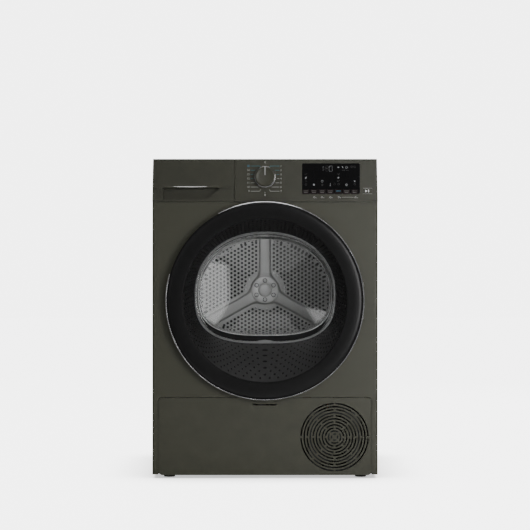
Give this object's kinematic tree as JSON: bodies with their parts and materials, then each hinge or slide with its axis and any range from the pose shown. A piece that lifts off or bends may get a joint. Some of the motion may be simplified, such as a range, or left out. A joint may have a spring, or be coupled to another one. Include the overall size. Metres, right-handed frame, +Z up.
{
  "type": "clothes dryer",
  "caption": "Front-loading clothes dryer with a round glass door, turning drum, pull-out water drawer, programme knob and drop-down kick panel with a vent grille.",
  "frame": {"origin": "on the floor under the middle of the outline", "axes": "+Z up, the door faces -Y, +X to the right seen from the front"},
  "size_m": [0.597, 0.638, 0.846],
  "materials": {
    "paint": "satin olive-grey",
    "fascia": "satin olive-grey",
    "black_gloss": "glossy black",
    "black_matte": "matt black",
    "chrome": "polished",
    "glass": "clear",
    "steel": "brushed",
    "galvanised": "galvanised",
    "grey_plastic": "matt grey",
    "white_plastic": "matt white",
    "worktop": "satin olive-grey",
    "rubber": "matt",
    "felt": "felt",
    "fins": "mill",
    "copper": "bare",
    "board": "circuit board"
  },
  "bodies": {
    "cabinet": {"front_panel": "paint", "left_side_panel": "paint", "right_side_panel": "paint", "control_panel": "fascia", "display_window": "black_gloss", "base_pan": "black_matte", "cooling_fan_frame": "black_matte", "compressor": "black_matte", "door_lock": "black_matte", "motor_body": "black_matte", "rear_duct_cover": "black_matte", "hinge_bracket": "steel", "hinge_pin": "steel", "drum_bearing": "steel", "back_panel": "galvanised", "front_bulkhead": "grey_plastic", "lint_filter": "grey_plastic", "fan_housing": "grey_plastic", "tank_tray": "grey_plastic", "terminal_cover": "grey_plastic", "exchanger_cover": "grey_plastic", "drain_spigot": "white_plastic", "condensate_pump": "white_plastic", "top_panel": "worktop", "door_seal": "rubber", "drum_belt": "rubber", "levelling_feet": "rubber", "drum_seals": "felt", "evaporator": "fins", "condenser": "fins", "refrigerant_pipes": "copper", "display_board": "board"},
    "drum": {"drum_shell": "steel", "drum_back": "steel", "drum_lifters": "grey_plastic", "drum_hub": "steel", "hub_screws": "steel", "drum_shaft": "steel"},
    "motor_rotor": {"motor_shaft": "steel", "fan_impeller": "grey_plastic"},
    "left_roller": {"left_support_roller": "grey_plastic"},
    "right_roller": {"right_support_roller": "grey_plastic"},
    "door": {"door_ring": "black_gloss", "chrome_trim": "chrome", "door_funnel": "black_matte", "door_glass": "glass", "door_inner_frame": "black_matte", "door_catch": "black_matte", "hinge_leaf": "steel"},
    "water_drawer": {"drawer_front": "fascia", "water_tank": "white_plastic"},
    "knob": {"knob_cap": "fascia", "knob_ring": "chrome", "knob_pointer": "white_plastic"},
    "start_key": {"start_button": "fascia"},
    "kick": {"kick_panel": "fascia"},
    "latch": {"kick_latch": "fascia"},
    "left_lever": {"left_lock_lever": "white_plastic"},
    "right_lever": {"right_lock_lever": "white_plastic"},
    "fan_wheel": {"cooling_fan": "black_matte"}
  },
  "joints": [
    {"name": "drum_spin", "type": "hinge", "parent": "cabinet", "child": "drum", "pos_m": [0, 0, 0.491], "axis": [0, 1, 0], "continuous": true},
    {"name": "motor_spin", "type": "hinge", "parent": "cabinet", "child": "motor_rotor", "pos_m": [0.15, 0, 0.112], "axis": [0, 1, 0], "continuous": true},
    {"name": "left_roller_spin", "type": "hinge", "parent": "cabinet", "child": "left_roller", "pos_m": [-0.17689, -0.198, 0.23837], "axis": [0, 1, 0], "continuous": true},
    {"name": "right_roller_spin", "type": "hinge", "parent": "cabinet", "child": "right_roller", "pos_m": [0.17689, -0.198, 0.23837], "axis": [0, 1, 0], "continuous": true},
    {"name": "door_swing", "type": "hinge", "parent": "cabinet", "child": "door", "pos_m": [0.254, -0.305, 0.47], "axis": [0, 0, 1], "range_deg": [0, 120]},
    {"name": "drawer_slide", "type": "slide", "parent": "cabinet", "child": "water_drawer", "axis": [0, -1, 0], "range_m": [0, 0.4]},
    {"name": "knob_turn", "type": "hinge", "parent": "cabinet", "child": "knob", "pos_m": [0, -0.29, 0.797], "axis": [0, 1, 0], "continuous": true},
    {"name": "start_press", "type": "slide", "parent": "cabinet", "child": "start_key", "axis": [0, 1, 0], "range_m": [0, 0.0015], "stiffness_N_per_m": 800},
    {"name": "kick_drop", "type": "hinge", "parent": "cabinet", "child": "kick", "pos_m": [0, -0.271, 0.017], "axis": [1, 0, 0], "range_deg": [0, 90]},
    {"name": "latch_slide", "type": "slide", "parent": "kick", "child": "latch", "axis": [0, 0, -1], "range_m": [0, 0.003], "stiffness_N_per_m": 600, "springref_m": -0.001},
    {"name": "left_lever_turn", "type": "hinge", "parent": "cabinet", "child": "left_lever", "pos_m": [-0.235, -0.256, 0.095], "axis": [0, -1, 0], "range_deg": [0, 90]},
    {"name": "right_lever_turn", "type": "hinge", "parent": "cabinet", "child": "right_lever", "pos_m": [-0.063, -0.256, 0.095], "axis": [0, 1, 0], "range_deg": [0, 90]},
    {"name": "cooling_fan_spin", "type": "hinge", "parent": "cabinet", "child": "fan_wheel", "pos_m": [0.184, -0.244, 0.109], "axis": [0, 1, 0], "continuous": true}
  ],
  "couplings": [
    {"joint": "motor_spin", "follows": "drum_spin", "ratio": 21},
    {"joint": "left_roller_spin", "follows": "drum_spin", "ratio": -9.2667},
    {"joint": "right_roller_spin", "follows": "drum_spin", "ratio": -9.2667}
  ]
}
